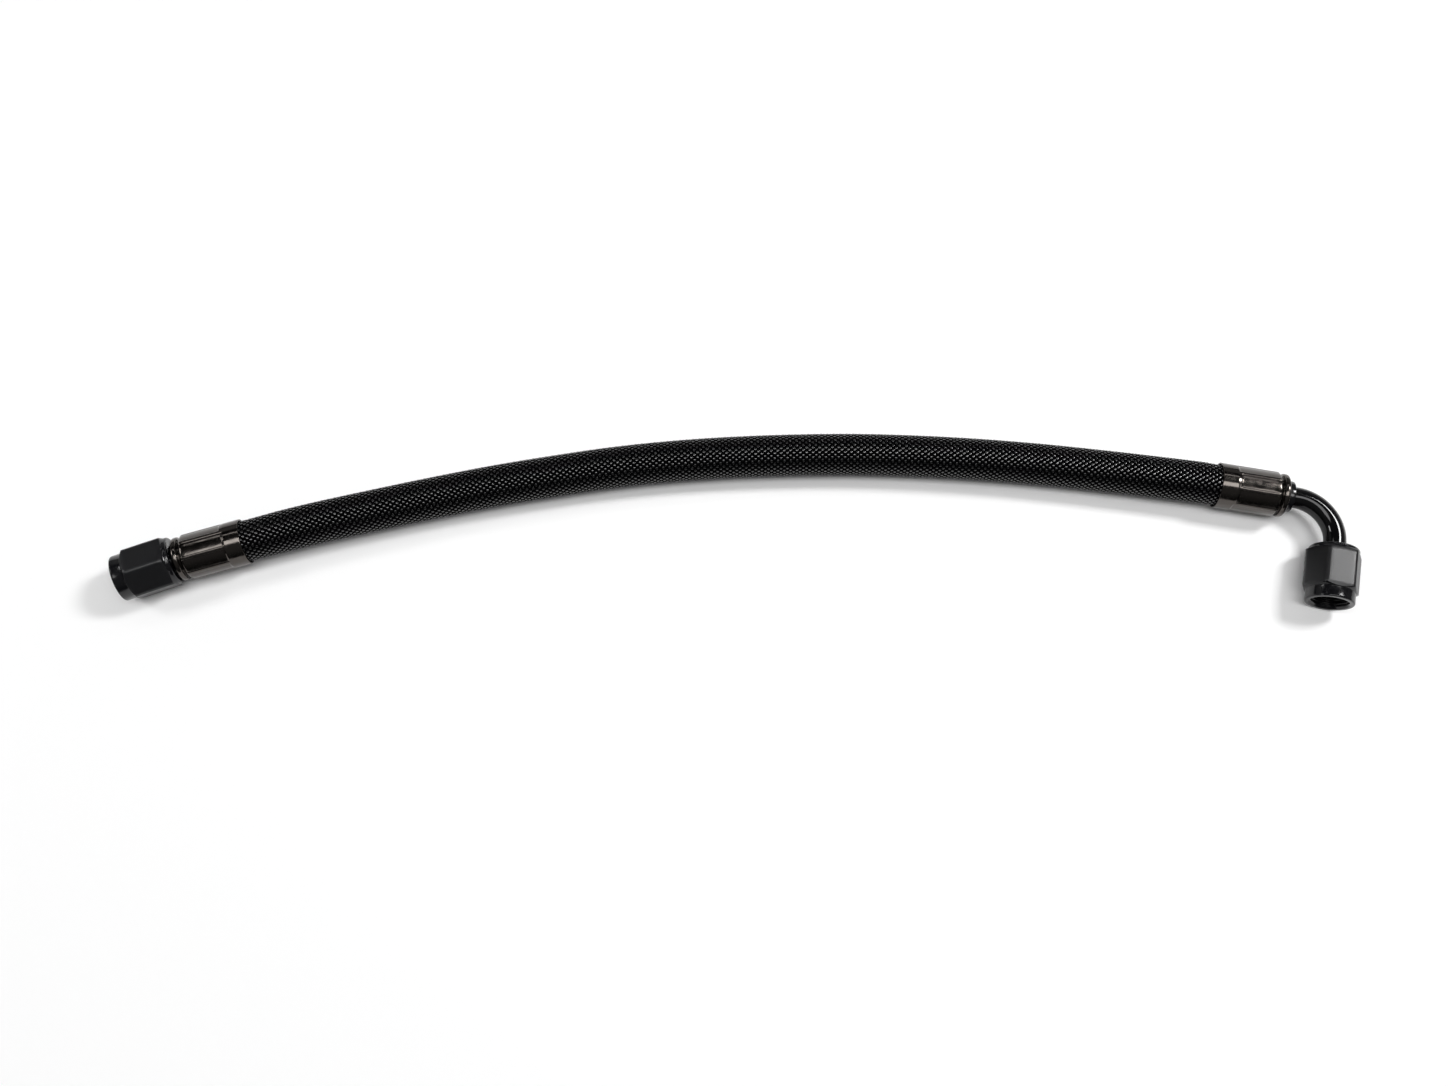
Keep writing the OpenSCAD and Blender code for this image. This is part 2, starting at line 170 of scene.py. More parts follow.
class TubeSizes(bpy.types.PropertyGroup):
    outside: length("Tube diameter", 6.35, "Outside of the bent tube")
    wall: length("Tube wall", 0.9, "Thickness")
    radius: length("Bend radius", 12, "Of the tube's centreline")
    bend: number("Bend angle", math.radians(92.5), "Of the tube", 0, math.pi, "ANGLE")
    shoulder: length("Shoulder diameter", 9.35, "Ring that stops each collar")
    straight_shoulder: length("Straight shoulder", 0.4, "Length of the ring at the straight end")
    elbow_shoulder: length("Elbow shoulder", 2, "Length of the ring at the elbow end")
    gap: length("Gap", 0.35, "Between the straight end's shoulder and its nut")
    lead_in: length("Tube lead", 1.6, "Straight tube before the bend")
    tail: length("Tube tail", 1.8, "Straight tube between the bend and the nut")
    shank: length("Shank diameter", 5.9, "Of the barbed insert")
    bore: length("Insert bore", 4.4, "Through each insert and seat")
    head: length("Seat head diameter", 9.5, "Inside the nut")
    neck: length("Seat neck diameter", 8.1, "That the nut turns on")
    head_length: length("Seat head length", 3.4, "Along the nut")
    ring_groove: length("Ring groove diameter", 7.3, "In the neck, for the split ring")
    ring_groove_width: length("Ring groove width", 1.7, "In the neck, for the split ring")
    insert_socket: length("Insert socket", 3, "Depth of the insert's socket for the tube")
    seat_socket: length("Seat socket", 3.5, "From the nut's rear face to its socket's floor")
    braze: length("Braze gap", 0.03, "Between the tube and its sockets")


class Finishes(bpy.types.PropertyGroup):
    collar: tint("Collar", "#504c49", "Reflection of the black nickel plate")
    nut: tint("Nuts", "#0b0b0e", "Black dye in the anodised layer")
    tube: tint("Tube", "#070708", "Black dye in the anodised layer")
    yarn: tint("Yarn", "#030304", "Nylon yarn")
    rubber: tint("Rubber", "#161617", "Hose liner")


class StageSizes(bpy.types.PropertyGroup):
    key: number("Key light", 5.2, "Radiance of the overhead panel")
    side: number("Side light", 41.0, "Radiance of the lamp at the back right")
    left: number("Left light", 15.0, "Radiance of the lamp at the left")
    strip: number("Back strip", 4.0, "Radiance of the long strip at the back")
    lift: number("Floor lift", 0.02, "What the floor shows the eye beside its own light")
    floor: tint("Floor", "#fafafa", "White paper")


# ---- Meshes ----

def placed(origin, direction):
    """Matrix of a piece whose X runs along a level direction from origin, with Z up."""
    along = Vector(direction).normalized()
    up = Vector((0, 0, 1))
    side = up.cross(along)
    return Matrix.Translation(Vector(origin)) @ Matrix((along, side, up)).transposed().to_4x4()


def finish_mesh(name, points, faces, local, body, materials, slots=None, sharp=35):
    """Object of a smooth shaded mesh that carries its local coordinates for its material."""
    mesh = bpy.data.meshes.new(name)
    mesh.from_pydata(points.tolist(), [], faces.tolist())
    for material in materials:
        mesh.materials.append(material)
    if slots is not None:
        mesh.polygons.foreach_set("material_index", slots.astype(np.int32))
    mesh.shade_smooth()
    if sharp:
        mesh.set_sharp_from_angle(angle=math.radians(sharp))
    layer = mesh.attributes.new("local", "FLOAT_VECTOR", "POINT")
    layer.data.foreach_set("vector", local.astype(np.float32).ravel())
    mesh.update()
    piece = bpy.data.objects.new(name, mesh)
    bpy.context.scene.collection.objects.link(piece)
    if sharp:
        weighted = piece.modifiers.new("Weighted normals", "WEIGHTED_NORMAL")
        weighted.keep_sharp = True
    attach(piece, body)
    return piece


def grid_faces(rows, columns, closed_rows=True):
    """Quads of a grid whose columns close into a ring, and its rows too if asked."""
    last = rows if closed_rows else rows - 1
    i, j = np.meshgrid(np.arange(last), np.arange(columns), indexing="ij")
    below, right = (i + 1) % rows, (j + 1) % columns
    quads = np.stack(
        [i * columns + j, i * columns + right, below * columns + right, below * columns + j], -1)
    return quads.reshape(-1, 4)


def outward(points, faces):
    """The faces, turned round if they enclose a negative volume."""
    corners = points[faces]
    volume = sum(
        (corners[:, 0] * np.cross(corners[:, i], corners[:, i + 1])).sum() for i in (1, 2))
    return faces if volume > 0 else faces[:, ::-1]


def moved(local, place):
    """Local points set in their place."""
    matrix = np.array(place)
    return local @ matrix[:3, :3].T + matrix[:3, 3]


def ring_piece(name, rows, angles, place, body, materials, slots=None, sharp=35):
    """Closed piece from rings round its X axis, each a row of (x, radius), even or by angle."""
    along, radius = (
        np.stack([np.broadcast_to(row[k], angles.shape) for row in rows]) for k in (0, 1))
    local = np.stack(
        [along, radius * np.cos(angles), radius * np.sin(angles)], -1).reshape(-1, 3)
    points = moved(local, place)
    faces = outward(points, grid_faces(*along.shape))
    return finish_mesh(name, points, faces, local, body, materials, slots, sharp)


def quarter(x, radius, size, steps, way=1, share=1.0):
    """Rows of a quarter round, up from a face at x to a radius, or back down to it if way is -1.
    Share is its depth in terms of its length."""
    rows = [(x + way * size * (1 - math.cos(t)), radius - size * share * (1 - math.sin(t)))
            for t in np.linspace(0, math.pi / 2, steps)]
    return rows[::way]


def rounded(corners, steps=4):
    """Closed half section from corners of (x, radius, rounding), each rounding an arc."""
    section = []
    for i, (x, radius, rounding) in enumerate(corners):
        corner = Vector((x, radius))
        before = (Vector(corners[i - 1][:2]) - corner).normalized()
        after = (Vector(corners[(i + 1) % len(corners)][:2]) - corner).normalized()
        if not rounding:
            section.append(tuple(corner))
            continue
        half = before.angle(after) / 2
        centre = corner + (before + after).normalized() * rounding / math.sin(half)
        first = corner + before * rounding / math.tan(half) - centre
        last = corner + after * rounding / math.tan(half) - centre
        for step in range(steps + 1):
            spoke = first.normalized().slerp(last.normalized(), step / steps)
            section.append(tuple(centre + spoke * rounding))
    return np.array(section)


def lathe(name, corners, place, material, columns=96):
    """Turned piece from the corners of its half section, in metres."""
    angles = np.arange(columns) * TURN / columns
    return ring_piece(name, rounded(corners), angles, place, "hose_assembly", [material])


def smooth(value):
    """Smooth step from 0 to 1 of a value in that range."""
    value = np.clip(value, 0, 1)
    return value * value * (3 - 2 * value)


def unit(rows):
    """Vectors brought to length 1."""
    return rows / np.linalg.norm(rows, axis=1)[:, None]


def sweep(name, centres, inner, outer, material, columns=64):
    """Pipe along centres, with its inner and outer radius at each."""
    sides, ups = axes_along(centres)
    angles = np.arange(columns) * TURN / columns
    spokes = (
        np.cos(angles)[None, :, None] * sides[:, None] + np.sin(angles)[None, :, None] * ups[:, None])
    skin = centres[:, None] + spokes * outer[:, None, None]
    lining = centres[:, None] + spokes * inner[:, None, None]
    points = np.concatenate([skin, lining[::-1]])
    steps = np.r_[0, np.cumsum(np.linalg.norm(np.diff(centres, axis=0), axis=1))]
    steps = np.r_[steps, steps[::-1]]
    rims = np.r_[outer, inner[::-1]]
    local = np.stack([
        np.broadcast_to(steps[:, None], points.shape[:2]),
        rims[:, None] * np.cos(angles), rims[:, None] * np.sin(angles)], -1)
    faces = grid_faces(*points.shape[:2])
    points = points.reshape(-1, 3)
    return finish_mesh(
        name, points, outward(points, faces), local.reshape(-1, 3), "hose_assembly", [material])


def axes_along(centres):
    """Level side and up of each point of a line."""
    tangents = unit(np.gradient(centres, axis=0))
    sides = unit(np.cross((0, 0, 1), tangents))
    return sides, np.cross(tangents, sides)


# ---- Where the pieces go ----

AXES = {joint["name"]: Vector(joint["axis"]) for joint in frame["joints"]}


def turned(direction, angle):
    """A level direction turned to the left."""
    return Matrix.Rotation(angle, 3, "Z") @ Vector(direction)


def straight_out():
    """Direction of the straight end's collar, from which its loose nut leans."""
    return turned(AXES["straight_nut_spin"], -bpy.context.scene.hose_nut.lean)


def elbow_out():
    """Direction of the elbow end's collar, back round the bend from its nut."""
    return turned(AXES["elbow_nut_spin"], bpy.context.scene.hose_tube.bend)


def straight_place(along=0.0):
    """Frame of the straight end, that many metres out from the collar's mouth."""
    return placed(Vector(ROUTE[0]) + straight_out() * along, straight_out())


def straight_nut_place():
    """Frame of the straight end's nut at its rear face."""
    nut, tube = bpy.context.scene.hose_nut, bpy.context.scene.hose_tube
    rear = bpy.context.scene.hose_collar.whole + tube.straight_shoulder + tube.gap
    pivot = straight_place(rear + nut.pivot).translation
    axis = AXES["straight_nut_spin"]
    return placed(pivot - axis * nut.pivot, axis)


def bend_points(angles):
    """Centreline of the elbow tube's bend at angles through it, beside the collar's axis."""
    collar, tube = bpy.context.scene.hose_collar, bpy.context.scene.hose_tube
    start = collar.whole + tube.elbow_shoulder + tube.lead_in
    return np.stack([
        start + tube.radius * np.sin(angles), tube.radius * (np.cos(angles) - 1),
        np.zeros_like(angles)], -1)


def elbow_place():
    """Frame of the elbow end at the collar's mouth."""
    return placed(Vector(ROUTE[-1]), elbow_out())


def elbow_nut_place():
    """Frame of the elbow's nut at its rear face."""
    tube = bpy.context.scene.hose_tube
    bent = elbow_place() @ Vector(bend_points(np.array([tube.bend]))[0])
    axis = AXES["elbow_nut_spin"]
    return placed(bent + axis * tube.tail, axis)


def hose_line(step):
    """The hose's centreline at equal steps, each point's distance from the straight collar's
    mouth, and the length between both mouths."""
    sizes = bpy.context.scene.hose_sizes
    first = ROUTE[0] + np.array(straight_out()) * sizes.gripped
    last = ROUTE[-1] + np.array(elbow_out()) * sizes.gripped
    knots = np.vstack([first, ROUTE, last])
    gaps = np.linalg.norm(np.diff(knots, axis=0), axis=1)
    at = np.r_[0, np.cumsum(gaps)]
    slopes = np.gradient(knots, at, axis=0)
    slopes[:2] = -np.array(straight_out())
    slopes[-2:] = np.array(elbow_out())
    fine = []
    for i, gap in enumerate(gaps):
        t = np.linspace(0, 1, 40, endpoint=False)[:, None]
        fine.append(
            (2 * t**3 - 3 * t**2 + 1) * knots[i] + (t**3 - 2 * t**2 + t) * gap * slopes[i]
            + (3 * t**2 - 2 * t**3) * knots[i + 1] + (t**3 - t**2) * gap * slopes[i + 1])
    fine = np.vstack(fine + [knots[-1:]])
    run = np.r_[0, np.cumsum(np.linalg.norm(np.diff(fine, axis=0), axis=1))]
    even = np.linspace(0, run[-1], int(round(run[-1] / step)) + 1)
    line = np.stack([np.interp(even, run, fine[:, k]) for k in range(3)], -1)
    return line, even - sizes.gripped, run[-1] - 2 * sizes.gripped


def hose_radius(at, free):
    """Outer radius of the hose at distances from the straight collar's mouth."""
    sizes, collar = bpy.context.scene.hose_sizes, bpy.context.scene.hose_collar
    from_mouth = np.minimum(at, free - at)
    swelling = np.minimum(
        smooth(at / sizes.straight_neck), smooth((free - at) / sizes.elbow_neck))
    radius = (sizes.neck + (sizes.outside - sizes.neck) * swelling) / 2
    taper = 1.2 * MM
    squeeze = smooth((taper / 2 - from_mouth - collar.skirt) / taper)
    return radius - squeeze * (sizes.neck - sizes.crimped) / 2


# ---- Materials ----

def add_node(tree, kind, settings=(), inputs=()):
    """Adds a node, sets it, and fills or links its inputs."""
    node = tree.nodes.new(kind)
    for name, value in dict(settings).items():
        setattr(node, name, value)
    for name, value in dict(inputs).items():
        if isinstance(value, bpy.types.NodeSocket):
            tree.links.new(value, node.inputs[name])
        else:
            node.inputs[name].default_value = value
    return node


def surface(name, colour, roughness, **sockets):
    """A new material, its tree and its shader, or one made before and None twice."""
    made = bpy.data.materials.get(name)
    if made:
        return made, None, None
    material = bpy.data.materials.new(name)
    material.use_nodes = True
    tree = material.node_tree
    shader = tree.nodes["Principled BSDF"]
    shader.inputs["Base Color"].default_value = tuple(colour)
    shader.inputs["Roughness"].default_value = roughness
    for socket, value in sockets.items():
        shader.inputs[socket.replace("_", " ")].default_value = value
    material.diffuse_color = tuple(colour)
    return material, tree, shader


def local_coordinates(tree):
    return add_node(tree, "ShaderNodeAttribute", {"attribute_name": "local"}).outputs["Vector"]


def noise(tree, vector, grain, detail=3.0, stretch=None):
    """Noise whose grains are that many millimetres across."""
    if stretch:
        vector = add_node(
            tree, "ShaderNodeVectorMath", {"operation": "MULTIPLY"},
            {0: vector, 1: stretch}).outputs[0]
    return add_node(
        tree, "ShaderNodeTexNoise", {},
        {"Vector": vector, "Scale": 1 / (grain * MM), "Detail": detail}).outputs["Fac"]


def spread(tree, value, lowest, highest, start=0.3, end=0.7):
    """Maps a range, by default the middle of a noise's, onto other values."""
    return add_node(
        tree, "ShaderNodeMapRange", {},
        {"Value": value, "From Min": start, "From Max": end, "To Min": lowest,
         "To Max": highest}).outputs["Result"]


def roughen(tree, shader, vector, grain, smoothest, roughest, detail=3.0):
    """Lets the roughness wander between two values, in grains of that many millimetres."""
    wander = spread(tree, noise(tree, vector, grain, detail), smoothest, roughest)
    tree.links.new(wander, shader.inputs["Roughness"])


def bump(tree, shader, height, microns, under=None):
    """Raises the surface by a height map of that many thousandths of a millimetre."""
    inputs = {"Height": height, "Strength": 1.0, "Distance": microns * 1e-6}
    if under is not None:
        inputs["Normal"] = under
    normal = add_node(tree, "ShaderNodeBump", {}, inputs).outputs["Normal"]
    tree.links.new(normal, shader.inputs["Normal"])
    return normal


def plate_material():
    finish = bpy.context.scene.hose_finish
    # Smoky mirror: dark reflections with soft white bands, as plate over pressed steel gives
    material, tree, shader = surface(
        "Steel collar, pressed, black nickel plate", finish.collar, 0.12, Metallic=1.0)
    if tree:
        place = local_coordinates(tree)
        # Slight haze that wanders, so that no band has a perfect edge
        roughen(tree, shader, place, 2.2, 0.09, 0.2)
        # Faint orange peel of the plate, drawn out along the collar by the dies
        peel = noise(tree, place, 0.9, 2.0, (0.35, 1, 1))
        under = bump(tree, shader, peel, 14)
        grit = noise(tree, place, 0.16, 2.0)
        bump(tree, shader, grit, 1.2, under)
    return material


def milled_material():
    finish = bpy.context.scene.hose_finish
    # Satin black flats, speckled grey where the lamp at the back right catches them
    material, tree, shader = surface(
        "Aluminium, milled and black anodised", finish.nut, 0.36, IOR=1.47)
    if tree:
        place = local_coordinates(tree)
        roughen(tree, shader, place, 0.35, 0.32, 0.4, detail=4.0)
        cutter = noise(tree, place, 0.6, 2.0)
        under = bump(tree, shader, cutter, 6)
        bump(tree, shader, noise(tree, place, 0.12, 2.0), 1.5, under)
    return material


def turned_material():
    finish = bpy.context.scene.hose_finish
    # Glossier black with fine rings round the axis, which draw highlights into short streaks
    material, tree, shader = surface(
        "Aluminium, turned and black anodised", finish.nut, 0.15, IOR=1.45)
    if tree:
        place = local_coordinates(tree)
        rings = noise(tree, place, 0.12, 2.0, (1, 0.02, 0.02))
        under = bump(tree, shader, rings, 1.6)
        bump(tree, shader, noise(tree, place, 0.7, 3.0), 4, under)
        roughen(tree, shader, place, 1.2, 0.1, 0.2)
    return material


def tube_material():
    finish = bpy.context.scene.hose_finish
    # Deep gloss black that shows the lights as long clean lines
    material, tree, shader = surface(
        "Aluminium tube, bent, polished and black anodised", finish.tube, 0.12, IOR=1.38)
    if tree:
        place = local_coordinates(tree)
        bump(tree, shader, noise(tree, place, 1.6, 2.0), 8)
        roughen(tree, shader, place, 1.5, 0.05, 0.11)
    return material


def yarn_material():
    finish = bpy.context.scene.hose_finish
    # Black yarn whose shine follows its rise in the weave: full on the crowns, none on the flanks low
    # down.
    # This is painted shade for the shade between the yarns, so each crossing gives one glint and the
    # flanks between them stay dark
    material, tree, shader = surface(
        "Nylon yarn, black, braided", finish.yarn, 0.14, IOR=1.6)
    if tree:
        place = local_coordinates(tree)
        rise = add_node(tree, "ShaderNodeSeparateXYZ", {}, {"Vector": place}).outputs["Z"]
        # Painted shade: the specular level falls from the crowns to nothing on the lower flanks
        crown_shine_painted_shade = spread(tree, rise, 0, 1, 0.26 * MM, 0.37 * MM)
        tree.links.new(crown_shine_painted_shade, shader.inputs["Specular IOR Level"])
        filaments = noise(tree, place, 0.11, 2.0, (0.04, 1, 1))
        bump(tree, shader, filaments, 2)
        roughen(tree, shader, place, 2.5, 0.11, 0.18)
    return material


def ground_material():
    # Black nylon under the yarns, its own colour, made dull with hardly any shine as painted shade, so
    # that the gaps between the yarns read as depth
    return surface(
        "Nylon ground of the braid, black, dulled as painted shade", linear("#050505"), 0.85,
        Specular_IOR_Level=0.05)[0]


def wire_braid_material():
    # Crossed bright wires with the warm cast of brass plate
    material, tree, shader = surface(
        "Steel wire braid, brass plated", linear("#b9ad93"), 0.32, Metallic=1.0)
    if tree:
        place = local_coordinates(tree)
        strands = [
            add_node(
                tree, "ShaderNodeTexWave", {"bands_direction": "DIAGONAL"},
                {"Vector": add_node(
                    tree, "ShaderNodeVectorMath", {"operation": "MULTIPLY"},
                    {0: place, 1: (1, way, way)}).outputs[0],
                 "Scale": 1 / (6 * MM)}).outputs["Fac"]
            for way in (1, -1)]
        crossed = add_node(
            tree, "ShaderNodeMath", {"operation": "MAXIMUM"}, {0: strands[0], 1: strands[1]})
        bump(tree, shader, crossed.outputs[0], 90)
    return material


def rubber_material():
    colour = bpy.context.scene.hose_finish.rubber
    # Soft dark rubber with hardly any shine
    material, tree, shader = surface("Nitrile rubber, extruded", colour, 0.7)
    if tree:
        bump(tree, shader, noise(tree, local_coordinates(tree), 0.2), 5)
    return material


def spring_material():
    # Bright drawn wire, a thin silver ring deep in the nut
    material, tree, shader = surface(
        "Spring steel wire, drawn", linear("#c4c5c8"), 0.25, Metallic=1.0)
    if tree:
        place = add_node(tree, "ShaderNodeTexCoord").outputs["Object"]
        bump(tree, shader, noise(tree, place, 0.1), 2)
    return material


def floor_material():
    stage = bpy.context.scene.hose_stage
    # White paper, lifted a little for the eye so that it runs out to clean white
    material, tree, shader = surface("Paper, white, matt", stage.floor, 0.9)
    if tree:
        shader.inputs["Specular IOR Level"].default_value = 0.0
        rays = add_node(tree, "ShaderNodeLightPath")
        shader.inputs["Emission Color"].default_value = (1, 1, 1, 1)
        lift = add_node(
            tree, "ShaderNodeMath", {"operation": "MULTIPLY"},
            {0: rays.outputs["Is Camera Ray"], 1: stage.lift})
        tree.links.new(lift.outputs[0], shader.inputs["Emission Strength"])
    return material


# ---- Pieces ----

class HOSE_OT_layers(bpy.types.Operator):
    """Build the hose's rubber liner, wire braid and the ground of its cover"""

    bl_idname = "hose_assembly.layers"
    bl_label = "Hose Layers"

    def execute(self, context):
        sizes = context.scene.hose_sizes
        line, at, free = hose_line(step=1.6 * MM)
        skin = hose_radius(at, free)
        # Under the lands the cover and the liner are both squeezed thinner
        squeezed = (sizes.outside / 2 - np.minimum(skin, sizes.neck / 2)) / (
            sizes.outside - sizes.crimped) * 2
        at_neck, widening, thinning, least_ground = 0.39, 0.1 * MM, 0.5 * MM, 0.1 * MM
        squeezed = np.clip((squeezed - at_neck) / (1 - at_neck), 0, 1)
        bore = sizes.bore / 2 + squeezed * widening
        liner = bore + sizes.liner_wall - squeezed * thinning
        wire = liner + sizes.wire_wall
        ground = np.maximum(skin - sizes.yarn_thickness - sizes.crimp, wire + least_ground)
        for name, node, slot, inner, outer, material in (
            ("hose_liner_tube", "hose_liner", "liner_rubber", bore, liner, rubber_material()),
            ("hose_wire_braid", "steel_braid", "steel_wire", liner, wire, wire_braid_material()),
            ("hose_cover_ground", "outer_braid", "black_braid", wire, ground, ground_material()),
        ):
            piece = sweep(name, line, inner, outer, material)
            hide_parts(node)
        return {"FINISHED"}


def lay_yarn(way, yarn, at, centres, skin, sides, ups):
    """Rings of points of one yarn round the hose, and their local coordinates."""
    sizes = bpy.context.scene.hose_sizes
    half, thick = sizes.yarn_width / 2, sizes.yarn_thickness / 2
    # Lens of a yarn with a round back: across and up, round its corners
    across = np.array([-1, -0.62, 0, 0.62, 1, 0.5, -0.5]) * half
    height = np.array([0, 0.74, 1, 0.74, 0, -0.9, -0.9]) * thick
    angle = way * TURN * at / sizes.lead + TURN * yarn / sizes.carriers
    lift = way * sizes.crimp * np.cos(TURN * at / (sizes.lead / sizes.carriers))
    radius = skin - sizes.crimp - thick + lift
    spoke = np.cos(angle)[:, None] * sides + np.sin(angle)[:, None] * ups
    middle = centres + spoke * radius[:, None]
    run = unit(np.gradient(middle, axis=0))
    top = unit(spoke - run * (spoke * run).sum(1)[:, None])
    edge = np.cross(run, top)
    points = middle[:, None] + edge[:, None] * across[:, None] + top[:, None] * height[:, None]
    # Local X and Y set the yarns apart, so that no two wear alike, and Z is the rise
    apart_along, apart_across = 30 * MM, 2 * MM
    steps = np.broadcast_to((at + yarn * apart_along)[:, None], points.shape[:2])
    local = np.stack([
        steps, np.broadcast_to(across, steps.shape) + yarn * apart_across,
        height + lift[:, None]], -1)
    return points, local


class HOSE_OT_braid(bpy.types.Operator):
    bl_idname = "hose_assembly.braid"
    bl_label = "Outer Braid"

    def execute(self, context):
        sizes, collar = context.scene.hose_sizes, context.scene.hose_collar
        line, at, free = hose_line(step=sizes.lead / sizes.carriers / 6)
        # The yarns go on into the collars only as far as the eye can follow
        reach = 1.8 * MM
        seen = (at > -reach) & (at < free + reach)
        sides, ups = (axis[seen] for axis in axes_along(line))
        centres, at = line[seen], at[seen]
        skin = np.minimum(hose_radius(at, free), collar.skirt_bore / 2)
        material = yarn_material()
        for way, side_name in ((1, "left"), (-1, "right")):
            for batch in (0, 1):
                yarns = [
                    lay_yarn(way, yarn, at, centres, skin, sides, ups)
                    for yarn in range(batch, sizes.carriers, 2)]
                first = yarns[0][0]
                quads = grid_faces(*first.shape[:2], closed_rows=False)
                quads = outward(first.reshape(-1, 3), quads)
                corners = first.shape[0] * first.shape[1]
                faces = np.concatenate([quads + i * corners for i in range(len(yarns))])
                points, local = (
                    np.concatenate([part.reshape(-1, 3) for part in parts])
                    for parts in zip(*yarns))
                piece = finish_mesh(
                    f"braid_yarns_{side_name}_{batch + 1}", points, faces, local,
                    "hose_assembly", [material], sharp=0)
                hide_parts("outer_braid")
        route, _, free = hose_line(step=12 * MM)
        return {"FINISHED"}


def collar_piece(name, place, starts, material):
    """Crimped collar. Starts are how far each die's land stands from the skirt's end."""
    sizes, hose = bpy.context.scene.hose_collar, bpy.context.scene.hose_sizes
    pitch = TURN / sizes.dies
    half_ridge = sizes.ridge_width / sizes.ridge
    # Columns crowd at the edges of each ridge
    offsets = np.radians([0, 1.5, 2.6, 3.1, 3.6, 4.2, 4.8, 5.6, 7, 9, 11.5, 14.5, 18])
    offsets = np.minimum(offsets, pitch / 2)
    one = np.r_[offsets, pitch / 2, pitch - offsets[:0:-1]]
    angles = np.concatenate([pitch * i + pitch / 2 + one for i in range(sizes.dies)])
    off_ridge = np.abs(angles / pitch % 1 - 0.5) * pitch
    pressed = smooth((off_ridge - half_ridge * 0.75) / (half_ridge * 0.7))
    die = np.floor(angles / pitch + 0.5).astype(int) % sizes.dies
    # A land lies between a round one, at 0, and a flat one, at 1
    flatness = 0.3
    land = sizes.land / 2 * (1 + flatness * (1 / np.cos(pitch / 2 - off_ridge) - 1))
    start = sizes.skirt + np.array(starts)[die] * MM

    lip_start = sizes.whole - sizes.lip_length
    end = lip_start - sizes.groove
    skirt, lip = sizes.skirt_outside / 2, sizes.lip / 2
    chamfer, rim, rounding = 0.22 * MM, 0.14 * MM, 1.0 * MM
    step, slope, groove_depth = 0.8 * MM, 0.62 * MM, 0.75 * MM
    rows = [(0.0, sizes.skirt_bore / 2 + chamfer)] + quarter(0.0, skirt, rim, 5)
    # Rings stand closest where the lands start
    stations = np.concatenate([
        np.arange(0.6, 3.0, 0.5), np.arange(3.2, 6.6, 0.09), np.arange(7.0, 16.4, 0.8)]) * MM
    stations = stations[stations < end - rounding - 0.2 * MM]
    for x in np.r_[stations, end - rounding]:
        top = skirt + (sizes.ridge / 2 - skirt) * smooth((x - sizes.skirt + step / 2) / step)
        deep = smooth((x - start) / slope) * pressed
        side = top + (np.minimum(land, top) - top) * deep
        rows.append((x, side))
    rows += quarter(end, side, rounding, 8, way=-1, share=0.85)[1:]
    low = lip - groove_depth
    rows += [
        (end + 0.02 * MM, low + 0.08 * MM), (end + 0.12 * MM, low),
        (lip_start - 0.08 * MM, low)]
    rows += quarter(lip_start, lip, 0.5 * MM, 7)
    rows += quarter(sizes.whole, lip, 0.7 * MM, 8, way=-1)
    # Inside: lock bore, shoulder, grip and skirt
    lock, grip = sizes.lock / 2 + 0.05 * MM, hose.crimped / 2 + 0.03 * MM
    rows += [
        (sizes.whole, lock), (hose.gripped, lock), (hose.gripped, grip),
        (sizes.skirt + 1.2 * MM, grip), (sizes.skirt, sizes.skirt_bore / 2),
        (chamfer, sizes.skirt_bore / 2)]
    return ring_piece(name, rows, angles, place, "hose_assembly", [material], sharp=50)


class HOSE_OT_collars(bpy.types.Operator):
    """Build both crimped collars with their lands, ridges and rounded lips"""

    bl_idname = "hose_assembly.collars"
    bl_label = "Crimped Collars"

    def execute(self, context):
        material = plate_material()
        # No press closes its dies quite level, so each land starts at its own place
        for end, place, starts in (
            ("straight", straight_place(), (0, -0.2, -0.3, 0.5, 0.3, 0, 0.2, 0.1)),
            ("elbow", elbow_place(), (0.1, -0.2, 0.4, 0.2, -0.5, -0.2, 0, 0.3)),
        ):
            piece = collar_piece(f"{end}_collar_shell", place, starts, material)
            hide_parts(f"{end}_collar")
        return {"FINISHED"}


def seat_corners(sizes, nut, rear):
    """Half section of the neck and the seat's head, from the nut's rear face."""
    behind_thread, rim_step, cone_angle = 0.3 * MM, 0.5 * MM, math.radians(37)
    face = nut.whole - nut.thread_length - behind_thread
    head = face - sizes.head_length
    rim = sizes.head / 2 - rim_step
    cone = (rim - sizes.bore / 2) / math.tan(cone_angle)
    # Groove in which the split ring turns clear of the neck
    neck, groove = sizes.neck / 2, sizes.ring_groove / 2
    groove_start = nut.pivot - sizes.ring_groove_width / 2
    groove_end = nut.pivot + sizes.ring_groove_width / 2
    return [
        (rear, neck, 0), (groove_start, neck, 0), (groove_start, groove, 0),
        (groove_end, groove, 0), (groove_end, neck, 0), (head, neck, 0.1 * MM),
        (head, sizes.head / 2, 0.2 * MM), (face, sizes.head / 2, 0.2 * MM),
        (face, rim, 0.05 * MM), (face - cone, sizes.bore / 2, 0)]


